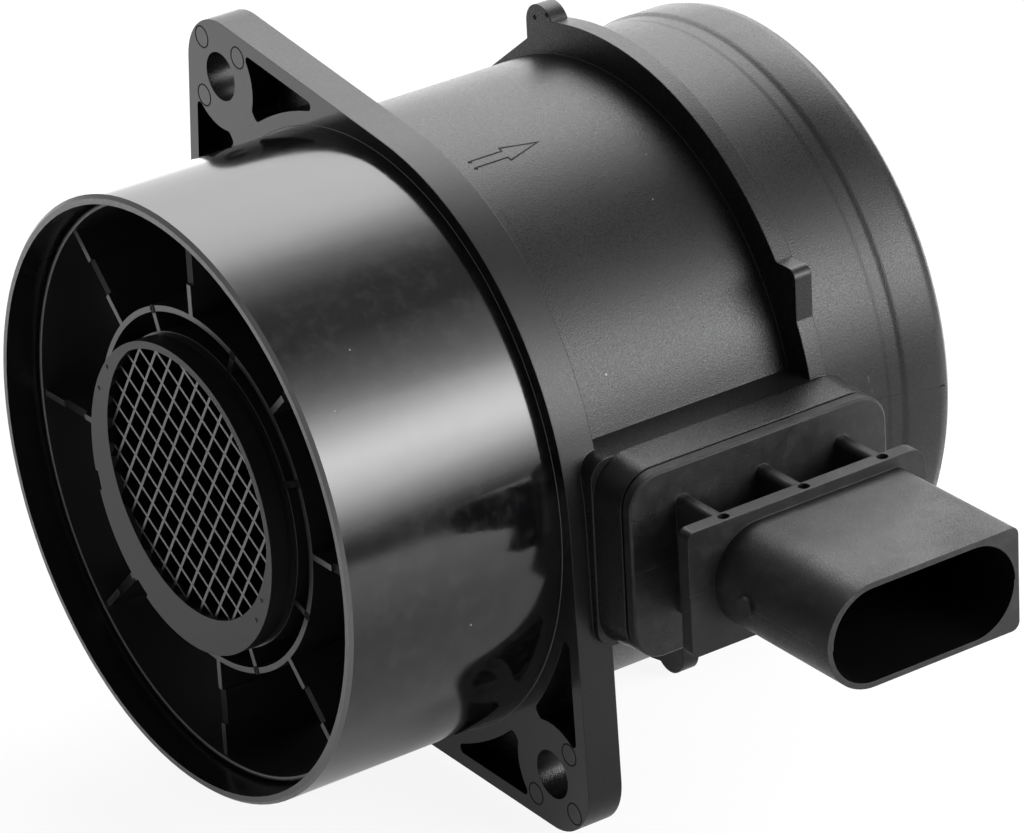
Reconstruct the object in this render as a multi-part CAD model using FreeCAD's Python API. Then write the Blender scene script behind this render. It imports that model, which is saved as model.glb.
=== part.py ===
import FreeCAD, Part
import math
import os

from FreeCAD import Placement, Rotation, Vector

# Mass air flow sensor for a diesel engine's intake pipe.
# The air duct runs along +Y, from the inlet rim at y = 0 to the outlet end.
# The plug-in sensor sits on the +X side of the duct. All sizes are in millimetres.

# Duct, seen as a turned form
DUCT_LENGTH = 94.5
BODY_R = 39.6            # outer radius between flange and collar
BODY_WALL = 2.0
SLEEVE_RISE = 0.3        # the inlet sleeve's radius is larger by this much
SLEEVE_R = BODY_R + SLEEVE_RISE
SLEEVE_WALL = 1.2
RIM_EDGE = 0.45          # broken outer edge of the inlet rim
BARREL_RISE = 0.6        # the barrel behind the collar is larger by this much
BARREL_R = BODY_R + BARREL_RISE
BEAD_RISE = 0.3          # the hose bead stands this far out of the barrel
BEAD_R = BARREL_R + BEAD_RISE
BEAD_LENGTH = 9.2        # from the start of its step to the outlet
BEAD_RAMP = 0.6          # length of that step
END_ROUND = 2.0          # rounding of the outlet end, made of a few short cones
END_CONES = 3

# Mounting flange, a plate with two lobes
FLANGE_Y = 31.25         # front face
FLANGE_T = 5.2
FLANGE_RISE = 2.5        # the flange's plate stands this far out of the body
FLANGE_R = BODY_R + FLANGE_RISE
HOLE_RISE = 7.9          # from the plate's edge to the middle of a screw hole
HOLE_REACH = FLANGE_R + HOLE_RISE
HOLE_R = 3.3             # clearance for an M6 screw
LOBE_ANGLES = (128.5, 315.3)
LOBE_BOSS_R = 7.6
POCKET_DEPTH = 4.0
POCKET_EDGE = 1.9        # wall between a pocket and the lobe's edge
POCKET_BOSS = 4.1        # wall between a pocket and the screw hole
POCKET_RIB = 7.4         # width of the rib between the two pockets of a lobe
POCKET_ROUND = 0.7

# Sensor axis, the line along X on which the plug-in sensor is centred
SENSOR_SET = 23.2        # from the flange's face to the sensor axis
SENSOR_Y = FLANGE_Y + SENSOR_SET
SENSOR_Z = -2.4
PLUG_SHIFT = 0.35        # the plate and the connector shroud sit this much further along
PLUG_Y = SENSOR_Y + PLUG_SHIFT

# Hose stop, two arcs of a collar that match after half a turn
COLLAR_SET = 14.0        # from the sensor axis to the collar's front
COLLAR_Y = SENSOR_Y + COLLAR_SET
COLLAR_T = 2.6
COLLAR_RISE = 4.3        # the collar stands this far out of the body
COLLAR_R = BODY_R + COLLAR_RISE
TOP_LUG_SINK = 0.7       # the round lugs' centres lie this far inside the collar's edge
LOW_LUG_SINK = 1.7
TOP_LUG_ANGLE = 106.6
LOW_LUG_ANGLE = 284.1
LUG_R = 3.0
WEB_SPAN = 20.5          # degrees from a round lug to the foot of its web
WEB_DROP = 2.5           # the web starts this far below the lug's centre
SIDE_LUG_X = BARREL_R    # outer face of the square lug
SIDE_LUG_Z = 24.5        # upper face of the square lug
SIDE_LUG_ROUND = 1.4

# Socket on the duct's side, half sizes along Y and Z
SOCKET_HALF_Y = 20.05
SOCKET_HALF_Z = 12.7
SOCKET_RISE = 8.9        # from the body's radius to the socket's face
SOCKET_FACE_X = BODY_R + SOCKET_RISE
SOCKET_LIP = 5.0         # depth of the socket's rounded rim
SOCKET_DRAFT = 0.5       # the rim widens by this much from its face to its back
SOCKET_ROUND = 4.8
NECK_HALF_Y = 20.7       # the neck joins the rim to the duct
NECK_HALF_Z = 12.9
NECK_ROUND = 2.6         # at the inlet side
NECK_ROUND_FAR = 6.0
SOCKET_WALL = 1.8
SOCKET_RECESS = 3.4      # hollow inside the rim
PORT_HALF_Y = 16.0       # opening for the sensor's spigot
PORT_HALF_Z = 6.6
PORT_ROUND = 5.0

# Inlet guide, an insert of rings and spokes
GUIDE_FRONT_Y = 4.7
GUIDE_LENGTH = 24.0
GUIDE_WALL = 1.0
GUIDE_LEAD = 0.9         # the outer ring's front slopes back to the sleeve over this length
GUIDE_FIT = 0.05         # clearance in the sleeve
INNER_TUBE_R = 20.8
INNER_TUBE_WALL = 1.2
INNER_TUBE_BORE = INNER_TUBE_R - INNER_TUBE_WALL
INNER_TUBE_LENGTH = 28.3
MID_RING_GAP = 3.35      # from the inner tube to the middle ring's outside
MID_RING_R = INNER_TUBE_R + MID_RING_GAP
MID_RING_WALL = 0.8
MID_RING_DEPTH = 9.0
SPOKE_COUNT = 8
SPOKE_T = 0.85
SPOKE_DEPTH = 16.0
SPOKE_PAD_LENGTH = 5.0   # each long spoke has an ejector pad
SPOKE_PAD_GAP = 4.35     # from the pad to the outer ring
SPOKE_PAD_T = 1.25
SPOKE_PAD_SINK = 0.35
SHORT_SPOKE_DEPTH = 7.0
SPOKE_SINK = 0.5         # the spokes lie this far behind the outer ring's front
SPOKE_FRONT_Y = GUIDE_FRONT_Y + SPOKE_SINK

# Flow grid, a snap-in cap with an eccentric window and a lattice
GRID_FRONT_Y = 1.5
GRID_EDGE = 0.2          # the cap's radius is this much less than the inner tube's
GRID_R = INNER_TUBE_R - GRID_EDGE
GRID_CAP_T = 2.75
GRID_SPIGOT_WALL = 0.5
GRID_SPIGOT_R = INNER_TUBE_BORE + GRID_SPIGOT_WALL
GRID_DEPTH = 10.0
GRID_SPIGOT_END_Y = GRID_FRONT_Y + GRID_DEPTH
GRID_FIT = 0.05          # clearance round the spigot
WINDOW_R = 18.1
WINDOW_SHIFT = 3.4
WINDOW_ANGLE = 60.0
LATTICE_ANGLE = 58.4     # direction of the first family of walls
LATTICE_PITCH = (3.03, 2.83)
LATTICE_SHIFT = (0.05, 0.65)  # from the duct's axis to the middle of the nearest opening
LATTICE_WALL = 0.4
LATTICE_DEPTH = 5.0
LATTICE_SINK = 0.8       # the lattice lies this far behind the cap's face
NOTCH_W = 2.6
NOTCH_DEPTH = 0.6
NOTCH_ANGLES = (193.5, 236.5)

# Sensor carrier, one moulding from blade to connector shroud
SEAM = 0.3               # dark gap between socket and base flange
BASE_T = 1.5
BASE_HALF_Y = 19.9
BASE_HALF_Z = 12.6
BASE_ROUND = 4.4
BASE_EDGE = 0.25         # broken edge of the base flange
MOULD_STEP = 0.18        # the upper mould half stands this far out and towards the inlet
SPIGOT_HALF_Y = 15.8
SPIGOT_HALF_Z = 6.4
SPIGOT_ROUND = 4.8
SPIGOT_LENGTH = 7.5
SPIGOT_BACK_X = SOCKET_FACE_X - SPIGOT_LENGTH
SEAL_SET = 3.9           # from the socket's face to the middle of the seal's groove
SEAL_X = SOCKET_FACE_X - SEAL_SET
SEAL_W = 2.4
SEAL_GROOVE = 1.3
SEAL_PLAY = 0.2          # at either side of the seal in its groove
SEAL_MARGIN = 2.0        # the groove's cut reaches this far past the spigot
RIB_T = 2.0              # ribs between base flange and plate
RIB_PITCH = 12.3
RIB_FOOT = 1.2           # the ribs' tops rise towards the base flange
RIB_SINK = 0.15          # the ribs' tops lie this far under the plate's top
PLATE_SET = 9.0          # from the socket's face to the inner face of the thin plate
PLATE_X = SOCKET_FACE_X + PLATE_SET
PLATE_T = 1.9
PLATE_HALF_Y = 18.4
PLATE_HALF_Z = 8.55
PLATE_ROUND_NEAR = 1.0
PLATE_ROUND_FAR = 2.6
DIMPLE_R = 0.75
DIMPLE_DEPTH = 0.8
SHROUD_LENGTH = 24.1     # from the plate's inner face
SHROUD_MOUTH_X = PLATE_X + SHROUD_LENGTH
SHROUD_HALF_Y = 14.75
SHROUD_HALF_Z = 7.05
SHROUD_WALL = 0.75
SHROUD_CORNER = 1.2
SHROUD_FLOOR = 4.0       # from the plate's inner face to the bottom of the mouth
SHROUD_FLOOR_X = PLATE_X + SHROUD_FLOOR
BUMP_SET = 8.3
BUMP_X = PLATE_X + BUMP_SET
BUMP_R = 1.4
BUMP_RISE = 0.5

# Sensor blade inside the duct
BLADE_TIP_X = -9.0
BLADE_HALF_Y = 13.0
BLADE_HALF_Z = 4.0
BLADE_ROUND = 2.5
COVER_T = 0.9
COVER_FIT = 0.1
COVER_LAP_X = 1.5        # the covers' seats are larger than the bays by these
COVER_LAP_Y = 1.2
COVER_WALL = 0.4         # between the two covers
BAY_END_WALL = 2.5       # from the electronics bay to the spigot
BAY_X = (13.0, SPIGOT_BACK_X - BAY_END_WALL)
BAY_HALF_Y = 10.6
CHANNEL_X = (-7.5, 11.5)  # measuring channel
CHANNEL_SHIFT = 2.0      # its half turn is centred this far along
CHANNEL_BACK = 6.0       # from there back to its exit
CHANNEL_W = 3.4
CHANNEL_MID_R = 5.2
CHANNEL_MARGIN = 1.0     # its cuts reach this far past the blade
CHANNEL_END_WALL = 0.5
FLOOR_T = 1.2

# Electronics
BOARD_PLATE_T = 1.0
BOARD_T = 0.6
TERMINAL_COUNT = 5
TERMINAL_PITCH = 4.6
TERMINAL_W = 1.5
TERMINAL_T = 0.6
TERMINAL_POINT = 1.2     # length of the bevelled tip
TERMINAL_REACH = 8.8     # from the bottom of the mouth to the tip
TERMINAL_TIP_X = SHROUD_FLOOR_X + TERMINAL_REACH
TERMINAL_TAIL = 3.5      # length inside the electronics bay
TERMINAL_END_X = BAY_X[1] - TERMINAL_TAIL
BOARD_GAP = 1.0          # between the board's plate and the terminals
BOARD_SIDE = 2.0         # from the bay's wall to the plate
BOARD_X = (BAY_X[0] + BOARD_SIDE, TERMINAL_END_X - BOARD_GAP)
BOARD_HALF_Y = 8.5
BOARD_INSET = 0.6        # the board is this much smaller than its plate
ASIC_SIZE = (6.0, 5.0, 1.0)
ASIC_SET = 8.0           # from the plate's edge to the chip
CHIP_STRIP = (13.5, 2.4, 0.5)
CHIP_LAP = 4.0           # length of the strip over the board's plate
CAPACITOR_SIZE = (1.6, 3.2, 1.2)
CAPACITOR_COUNT = 3
CAPACITOR_PITCH = 4.0
CAPACITOR_SET = (6.5, 3.6)  # the first one from the plate's edge and from the sensor axis
THERMISTOR_R = 1.1
THERMISTOR_WIRE_R = 0.3
THERMISTOR_LEG_R = 0.4
THERMISTOR_X = 26.0
THERMISTOR_SET = 4.0     # from the sensor axis towards the inlet
THERMISTOR_SPAN = 12.0   # between the wire's legs
THERMISTOR_DROP = 2.4    # from the blade's lower face to the wire


def on_xz(y):
    """Places outline coordinates (u, v) at X and Z in the plane of this y."""
    return lambda u, v: Vector(u, y, v)


def on_yz(x):
    """Places outline coordinates (u, v) at Y and Z in the plane of this x."""
    return lambda u, v: Vector(x, u, v)


def on_xy(z):
    """Places outline coordinates (u, v) at X and Y in the plane of this z."""
    return lambda u, v: Vector(u, v, z)


def outline(corners, place):
    """Closed wire through corners (u, v, radius), each rounded where its radius is above zero."""
    count = len(corners)
    stops = []
    for i, (u, v, radius) in enumerate(corners):
        here = Vector(u, v, 0)
        before = Vector(*corners[i - 1][:2], 0)
        after = Vector(*corners[(i + 1) % count][:2], 0)
        if radius <= 0:
            stops.append((here, None, here))
            continue
        to_before = (before - here).normalize()
        to_after = (after - here).normalize()
        half_angle = to_before.getAngle(to_after) / 2
        reach = radius / math.tan(half_angle)
        inward = (to_before + to_after).normalize()
        centre = here + inward * (radius / math.sin(half_angle))
        stops.append((here + to_before * reach, centre - inward * radius, here + to_after * reach))
    edges = []
    for i, (start, middle, end) in enumerate(stops):
        if middle is not None:
            edges.append(Part.Arc(*(place(p.x, p.y) for p in (start, middle, end))).toShape())
        next_start = stops[(i + 1) % count][0]
        if end.distanceToPoint(next_start) > 1e-6:
            edges.append(Part.makeLine(place(end.x, end.y), place(next_start.x, next_start.y)))
    return Part.Wire(edges)


def prism(corners, place, along):
    """Solid made by extruding a rounded outline along a vector."""
    return Part.Face(outline(corners, place)).extrude(along)


def turned(corners):
    """Solid turned about the duct's axis from an outline of (radius, y, rounding)."""
    return Part.Face(outline(corners, on_xy(0))).revolve(Vector(0, 0, 0), Vector(0, 1, 0), 360)


def disc(radius, y, depth, x=0.0, z=0.0):
    """Cylinder along +Y."""
    return Part.makeCylinder(radius, depth, Vector(x, y, z), Vector(0, 1, 0))


def tube(outer, inner, y, depth):
    """Hollow cylinder along +Y on the duct's axis."""
    return disc(outer, y, depth).cut(disc(inner, y, depth))


def sensor_corners(half_y, half_z, round_near, round_far=None, middle_y=SENSOR_Y):
    """Corners of a rounded oblong on the sensor axis; those at -Y and at +Y have their own radii."""
    far = round_near if round_far is None else round_far
    y0, y1 = middle_y - half_y, middle_y + half_y
    z0, z1 = SENSOR_Z - half_z, SENSOR_Z + half_z
    return [(y0, z0, round_near), (y1, z0, far), (y1, z1, far), (y0, z1, round_near)]


def sensor_block(x0, x1, *oblong):
    """Block along X from x0 to x1 over a rounded oblong."""
    return prism(sensor_corners(*oblong), on_yz(x0), Vector(x1 - x0, 0, 0))


def polar(radius, degrees):
    """X and Z at a radius and an angle about the duct's axis."""
    angle = math.radians(degrees)
    return radius * math.cos(angle), radius * math.sin(angle)


def ray_box(r0, r1, thickness, y, depth, degrees):
    """Radial wall from r0 to r1 at an angle about the duct's axis."""
    wall = Part.makeBox(r1 - r0, depth, thickness, Vector(r0, y, -thickness / 2))
    wall.Placement = Placement(Vector(0, 0, 0), Rotation(Vector(0, 1, 0), -degrees))
    return wall


def lobe_shape(circle_r, boss_r, degrees, y, depth):
    """Half of the duct's circle joined to a round boss by two tangent edges, as a plate."""
    swing = math.degrees(math.acos((circle_r - boss_r) / HOLE_REACH))
    centre = Vector(*polar(HOLE_REACH, degrees), 0)

    def boss_point(turn):
        return centre + Vector(*polar(boss_r, degrees + turn), 0)

    def circle_point(turn):
        return Vector(*polar(circle_r, degrees + turn), 0)

    place = on_xz(y)
    ends = [place(p.x, p.y) for p in (circle_point(-swing), boss_point(-swing), boss_point(0),
                                      boss_point(swing), circle_point(swing), circle_point(180))]
    edges = [
        Part.makeLine(ends[0], ends[1]),
        Part.Arc(ends[1], ends[2], ends[3]).toShape(),
        Part.makeLine(ends[3], ends[4]),
        Part.Arc(ends[4], ends[5], ends[0]).toShape(),
    ]
    return Part.Face(Part.Wire(edges)).extrude(Vector(0, depth, 0))


def edges_along_y(shape, length):
    """Straight edges that run along Y over the whole given length."""
    found = []
    for edge in shape.Edges:
        if isinstance(edge.Curve, Part.Line) and abs(edge.Length - length) < 1e-4:
            if abs(abs(edge.Curve.Direction.y) - 1) < 1e-6:
                found.append(edge)
    return found


def pockets(degrees):
    """The two deep pockets of a lobe, beside its screw boss."""
    x, z = polar(HOLE_REACH, degrees)
    hollow = lobe_shape(FLANGE_R - POCKET_EDGE, LOBE_BOSS_R - POCKET_EDGE, degrees, FLANGE_Y, POCKET_DEPTH)
    hollow = hollow.cut(disc(FLANGE_R, FLANGE_Y, POCKET_DEPTH))
    hollow = hollow.cut(disc(HOLE_R + POCKET_BOSS, FLANGE_Y, POCKET_DEPTH, x, z))
    hollow = hollow.cut(ray_box(0, HOLE_REACH, POCKET_RIB, FLANGE_Y, POCKET_DEPTH, degrees))
    rounded = []
    for piece in hollow.Solids:
        if piece.Volume > 20:
            rounded.append(piece.makeFillet(POCKET_ROUND, edges_along_y(piece, POCKET_DEPTH)))
    return rounded


def make_flange():
    """Flange plate with its lobes, screw holes and pockets."""
    plate = disc(FLANGE_R, FLANGE_Y, FLANGE_T)
    cuts = []
    for degrees in LOBE_ANGLES:
        plate = plate.fuse(lobe_shape(FLANGE_R, LOBE_BOSS_R, degrees, FLANGE_Y, FLANGE_T))
        x, z = polar(HOLE_REACH, degrees)
        cuts.append(disc(HOLE_R, FLANGE_Y, FLANGE_T, x, z))
        cuts += pockets(degrees)
    return plate.removeSplitter().cut(Part.makeCompound(cuts))


def make_duct():
    """Duct wall with its lip, barrel and rounded hose bead."""
    flange_back = FLANGE_Y + FLANGE_T
    collar_back = COLLAR_Y + COLLAR_T
    sleeve_bore = SLEEVE_R - SLEEVE_WALL
    body_bore = BODY_R - BODY_WALL
    guide_end = GUIDE_FRONT_Y + GUIDE_LENGTH
    bead_y = DUCT_LENGTH - BEAD_LENGTH
    rounding = []
    for i in range(END_CONES + 1):
        angle = math.radians(90 * i / END_CONES)
        rounding.append((BEAD_R - END_ROUND * (1 - math.cos(angle)),
                         DUCT_LENGTH - END_ROUND * (1 - math.sin(angle)), 0))
    return turned([
        (sleeve_bore, 0, 0),
        (SLEEVE_R - RIM_EDGE, 0, 0),
        (SLEEVE_R, RIM_EDGE, 0),
        (SLEEVE_R, flange_back, 0),
        (BODY_R, flange_back, 0),
        (BODY_R, collar_back, 0),
        (BARREL_R, collar_back, 0),
        (BARREL_R, bead_y, 0),
        (BEAD_R, bead_y + BEAD_RAMP, 0),
        *rounding,
        (body_bore, DUCT_LENGTH, 0),
        (body_bore, guide_end, 0),
        (sleeve_bore, guide_end, 0),
    ])


def collar_arc(lug_r, lug_angle):
    """Collar from its round lug to the sensor side, with a square lug on the way."""
    reach = COLLAR_R + LUG_R
    foot = BODY_R - BODY_WALL / 2
    lug_x, lug_z = polar(lug_r, lug_angle)
    along = Vector(0, COLLAR_T, 0)
    sector = prism([
        (0, 0, 0),
        (reach, 0, 0),
        (reach, reach, 0),
        (*polar(reach * 1.2, lug_angle), 0),
    ], on_xz(COLLAR_Y), along)
    arc = disc(COLLAR_R, COLLAR_Y, COLLAR_T).common(sector)
    lug = disc(LUG_R, COLLAR_Y, COLLAR_T, lug_x, lug_z)
    web = prism([
        (lug_x - LUG_R, lug_z, 0),
        (lug_x, lug_z, 0),
        (*polar(foot, lug_angle), 0),
        (*polar(foot, lug_angle + WEB_SPAN), 0),
        (*polar(BARREL_R, lug_angle + WEB_SPAN), 0),
        (lug_x - LUG_R, lug_z - WEB_DROP, 0),
    ], on_xz(COLLAR_Y), along)
    square = prism([
        (foot * 0.7, 0, 0),
        (SIDE_LUG_X, 0, 0),
        (SIDE_LUG_X, SIDE_LUG_Z, SIDE_LUG_ROUND),
        (foot * 0.7, SIDE_LUG_Z, 0),
    ], on_xz(COLLAR_Y), along)
    return arc.fuse([lug, web, square])


def make_collar():
    """Both arcs of the hose stop; the lower one ends flat at its square lug."""
    upper = collar_arc(COLLAR_R - TOP_LUG_SINK, TOP_LUG_ANGLE)
    trim = Part.makeBox(COLLAR_R, COLLAR_T, SIDE_LUG_Z, Vector(SIDE_LUG_X, COLLAR_Y, 0))
    lower = collar_arc(COLLAR_R - LOW_LUG_SINK, LOW_LUG_ANGLE - 180).cut(trim)
    lower.rotate(Vector(0, 0, 0), Vector(0, 1, 0), 180)
    return upper.fuse(lower).cut(disc(BODY_R - BODY_WALL / 2, COLLAR_Y, COLLAR_T))


def make_housing():
    """Duct, flange, collar and sensor socket as one moulding."""
    lip_x = SOCKET_FACE_X - SOCKET_LIP
    duct = make_duct()
    neck = sensor_block(0, lip_x, NECK_HALF_Y, NECK_HALF_Z, NECK_ROUND, NECK_ROUND_FAR)
    back = outline(sensor_corners(SOCKET_HALF_Y + SOCKET_DRAFT, SOCKET_HALF_Z + SOCKET_DRAFT,
                                  SOCKET_ROUND + SOCKET_DRAFT), on_yz(lip_x))
    front = outline(sensor_corners(SOCKET_HALF_Y, SOCKET_HALF_Z, SOCKET_ROUND), on_yz(SOCKET_FACE_X))
    socket = neck.fuse(Part.makeLoft([back, front], True, True))
    outside = make_flange().fuse([make_collar(), socket])
    outside = outside.cut(disc(BODY_R - BODY_WALL / 2, 0, DUCT_LENGTH))
    housing = duct.fuse(outside)
    recess = sensor_block(SOCKET_FACE_X - SOCKET_RECESS, SOCKET_FACE_X, SOCKET_HALF_Y - SOCKET_WALL,
                          SOCKET_HALF_Z - SOCKET_WALL, SOCKET_ROUND - SOCKET_WALL)
    port = sensor_block(0, SOCKET_FACE_X, PORT_HALF_Y, PORT_HALF_Z, PORT_ROUND)
    return housing.cut([recess, port]).removeSplitter()


def make_inlet_guide():
    """Insert of an outer ring, eight long spokes, a middle ring, eight short spokes and a tube."""
    outer_r = SLEEVE_R - SLEEVE_WALL - GUIDE_FIT
    inner_r = outer_r - GUIDE_WALL
    guide_end = GUIDE_FRONT_Y + GUIDE_LENGTH
    seat_end = GRID_SPIGOT_END_Y + GUIDE_FIT
    step = 360 / SPOKE_COUNT
    ring = turned([
        (inner_r, GUIDE_FRONT_Y, 0),
        (inner_r + GUIDE_WALL / 3, GUIDE_FRONT_Y, 0),
        (outer_r, GUIDE_FRONT_Y + GUIDE_LEAD, 0),
        (outer_r, guide_end, 0),
        (inner_r, guide_end, 0),
    ])
    middle = tube(MID_RING_R, MID_RING_R - MID_RING_WALL, SPOKE_FRONT_Y, MID_RING_DEPTH)
    inner = tube(INNER_TUBE_R, INNER_TUBE_BORE, SPOKE_FRONT_Y, INNER_TUBE_LENGTH)
    seat = disc(GRID_SPIGOT_R + GRID_FIT, SPOKE_FRONT_Y, seat_end - SPOKE_FRONT_Y)
    mid_r = MID_RING_R - MID_RING_WALL / 2
    pad_r = inner_r - SPOKE_PAD_GAP
    pad_y = SPOKE_FRONT_Y + SPOKE_PAD_SINK
    walls = []
    for i in range(SPOKE_COUNT):
        angle = i * step
        walls.append(ray_box(mid_r, pad_r - SPOKE_PAD_LENGTH, SPOKE_T, SPOKE_FRONT_Y, SPOKE_DEPTH, angle))
        walls.append(ray_box(pad_r, outer_r - GUIDE_WALL / 2, SPOKE_T, SPOKE_FRONT_Y, SPOKE_DEPTH, angle))
        walls.append(ray_box(pad_r - SPOKE_PAD_LENGTH, pad_r, SPOKE_PAD_T, pad_y,
                             SPOKE_DEPTH - SPOKE_PAD_SINK, angle))
        walls.append(ray_box((INNER_TUBE_R + GRID_SPIGOT_R) / 2, mid_r, SPOKE_T, SPOKE_FRONT_Y,
                             SHORT_SPOKE_DEPTH, angle + step / 2))
    return ring.fuse([middle, inner] + walls).cut(seat).removeSplitter()


def lattice_cells(radius):
    """Square prisms of the openings between the lattice walls."""
    across, up = LATTICE_PITCH
    reach = int(radius / up) + 1
    depth = LATTICE_DEPTH + 2
    cells = []
    for i in range(-reach, reach + 1):
        for j in range(-reach, reach + 1):
            u = LATTICE_SHIFT[0] + i * across
            v = LATTICE_SHIFT[1] + j * up
            if math.hypot(u, v) > radius + up:
                continue
            corner = Vector(u - (across - LATTICE_WALL) / 2, GRID_FRONT_Y, v - (up - LATTICE_WALL) / 2)
            cells.append(Part.makeBox(across - LATTICE_WALL, depth, up - LATTICE_WALL, corner))
    block = Part.makeCompound(cells)
    block.Placement = Placement(Vector(0, 0, 0), Rotation(Vector(0, 1, 0), -LATTICE_ANGLE))
    return block


def make_flow_grid():
    """Snap-in cap whose eccentric window is filled by the lattice."""
    cap_end = GRID_FRONT_Y + GRID_CAP_T
    lattice_y = GRID_FRONT_Y + LATTICE_SINK
    lattice_end = lattice_y + LATTICE_DEPTH
    wx, wz = polar(WINDOW_SHIFT, WINDOW_ANGLE)
    cap = disc(GRID_R, GRID_FRONT_Y, GRID_CAP_T)
    spigot = disc(GRID_SPIGOT_R, cap_end, GRID_SPIGOT_END_Y - cap_end)
    hollow = disc(INNER_TUBE_BORE, lattice_end, GRID_SPIGOT_END_Y - lattice_end)
    bore = disc(INNER_TUBE_BORE, GRID_FRONT_Y, lattice_end - GRID_FRONT_Y)
    window = disc(WINDOW_R, GRID_FRONT_Y, lattice_end - GRID_FRONT_Y, wx, wz).common(bore)
    frame = cap.fuse(spigot).cut([hollow, window])
    lattice = window.cut([disc(INNER_TUBE_R, GRID_FRONT_Y, LATTICE_SINK), lattice_cells(INNER_TUBE_BORE)])
    notches = []
    for angle in NOTCH_ANGLES:
        notches.append(ray_box(GRID_R - NOTCH_DEPTH, GRID_R + 1, NOTCH_W, GRID_FRONT_Y, GRID_CAP_T, angle))
    return frame.fuse(lattice).cut(notches).removeSplitter()


def two_halves(shape):
    """The shape as two mould halves leave it, with a small step at the parting plane."""
    box = shape.BoundBox
    size = Vector(box.XLength, box.YLength, box.ZMax - SENSOR_Z)
    above = Part.makeBox(size.x, size.y, size.z, Vector(box.XMin, box.YMin, SENSOR_Z))
    upper = shape.common(above)
    lower = shape.cut(above)
    moved = upper.copy()
    moved.translate(Vector(MOULD_STEP, -MOULD_STEP, 0))
    return lower.fuse([upper, moved])


def make_shroud():
    """Connector shroud: rounded at -Y, squared at +Y, with a small bump on its side."""
    start = PLATE_X + PLATE_T / 2
    outer = sensor_block(start, SHROUD_MOUTH_X - MOULD_STEP, SHROUD_HALF_Y, SHROUD_HALF_Z,
                         SHROUD_HALF_Z - 0.01, SHROUD_CORNER, PLUG_Y)
    bump_y = PLUG_Y - SHROUD_HALF_Y - BUMP_RISE
    bump = disc(BUMP_R, bump_y, 2 * BUMP_RISE, BUMP_X, SENSOR_Z)
    return outer.fuse(bump)


def make_mouth():
    """Stadium-shaped hollow of the connector."""
    half_z = SHROUD_HALF_Z - SHROUD_WALL
    return sensor_block(SHROUD_FLOOR_X, SHROUD_MOUTH_X, SHROUD_HALF_Y - SHROUD_WALL, half_z,
                        half_z - 0.01, half_z - 0.01, PLUG_Y)


def make_rib(y, x0, x1, top):
    """Upright rib with a rounded top that rises a little towards the base flange."""
    half = RIB_T / 2
    rib = prism([
        (x0, SENSOR_Z - PLATE_HALF_Z + 1, 0),
        (x1, SENSOR_Z - PLATE_HALF_Z + 1, 0),
        (x1, top, 0),
        (x0 + RIB_FOOT, top, 0),
        (x0, top + RIB_FOOT / 2, 0),
    ], lambda u, v: Vector(u, y - half, v), Vector(0, RIB_T, 0))
    ridge = [e for e in rib.Edges
             if min(v.Z for v in e.Vertexes) > top - 1e-6 and abs(e.CenterOfMass.y - y) > half - 1e-6]
    return rib.makeFillet(half * 0.85, ridge)


def make_base():
    """Base flange with its spigot, ribs and thin plate."""
    base_x = SOCKET_FACE_X + SEAM
    face_x = base_x + BASE_T
    flange = sensor_block(base_x, face_x, BASE_HALF_Y, BASE_HALF_Z, BASE_ROUND)
    rim = [e for e in flange.Edges if abs(e.CenterOfMass.x - face_x) < 1e-6]
    flange = flange.makeChamfer(BASE_EDGE, rim)
    gap = SOCKET_WALL + COVER_FIT
    foot = sensor_block(SOCKET_FACE_X - SOCKET_RECESS / 2, base_x, SOCKET_HALF_Y - gap, SOCKET_HALF_Z - gap,
                        SOCKET_ROUND - gap)
    spigot = sensor_block(SPIGOT_BACK_X, SOCKET_FACE_X, SPIGOT_HALF_Y, SPIGOT_HALF_Z, SPIGOT_ROUND)
    plate = sensor_block(PLATE_X, PLATE_X + PLATE_T, PLATE_HALF_Y, PLATE_HALF_Z, PLATE_ROUND_NEAR,
                         PLATE_ROUND_FAR, PLUG_Y)
    plate_top = SENSOR_Z + PLATE_HALF_Z
    ribs = []
    dimples = []
    for i in (-1, 0, 1):
        y = PLUG_Y + i * RIB_PITCH
        ribs.append(make_rib(y, face_x - BASE_T / 2, PLATE_X + PLATE_T / 2, plate_top - RIB_SINK))
        dimples.append(Part.makeCylinder(DIMPLE_R, DIMPLE_DEPTH,
                                         Vector(PLATE_X + PLATE_T / 2, y, plate_top - DIMPLE_DEPTH)))
    outer = two_halves(flange.fuse([plate, make_shroud()] + ribs))
    return outer.fuse([foot, spigot]).cut(dimples)


def seal_groove():
    """Ring-shaped groove around the spigot."""
    x0, x1 = SEAL_X - SEAL_W / 2, SEAL_X + SEAL_W / 2
    outer = sensor_block(x0, x1, SPIGOT_HALF_Y + SEAL_MARGIN, SPIGOT_HALF_Z + SEAL_MARGIN,
                         SPIGOT_ROUND + SEAL_MARGIN)
    inner = sensor_block(x0, x1, SPIGOT_HALF_Y - SEAL_GROOVE, SPIGOT_HALF_Z - SEAL_GROOVE,
                         SPIGOT_ROUND - SEAL_GROOVE)
    return outer.cut(inner)


def bay_floor_z():
    """Height of the floor of the blade's bays."""
    return SENSOR_Z - BLADE_HALF_Z + FLOOR_T


def cover_block(x0, x1, half_y, gap):
    """Flat block at the blade's upper face where a cover lies; gap shrinks it all round."""
    top = SENSOR_Z + BLADE_HALF_Z
    return Part.makeBox(x1 - x0 - 2 * gap, 2 * (half_y - gap), COVER_T,
                        Vector(x0 + gap, SENSOR_Y - half_y + gap, top - COVER_T))


def bay_cover(gap):
    """Block of the electronics bay's cover."""
    return cover_block(BAY_X[0] - COVER_LAP_X, BAY_X[1] + COVER_LAP_X, BAY_HALF_Y + COVER_LAP_Y, gap)


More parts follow.
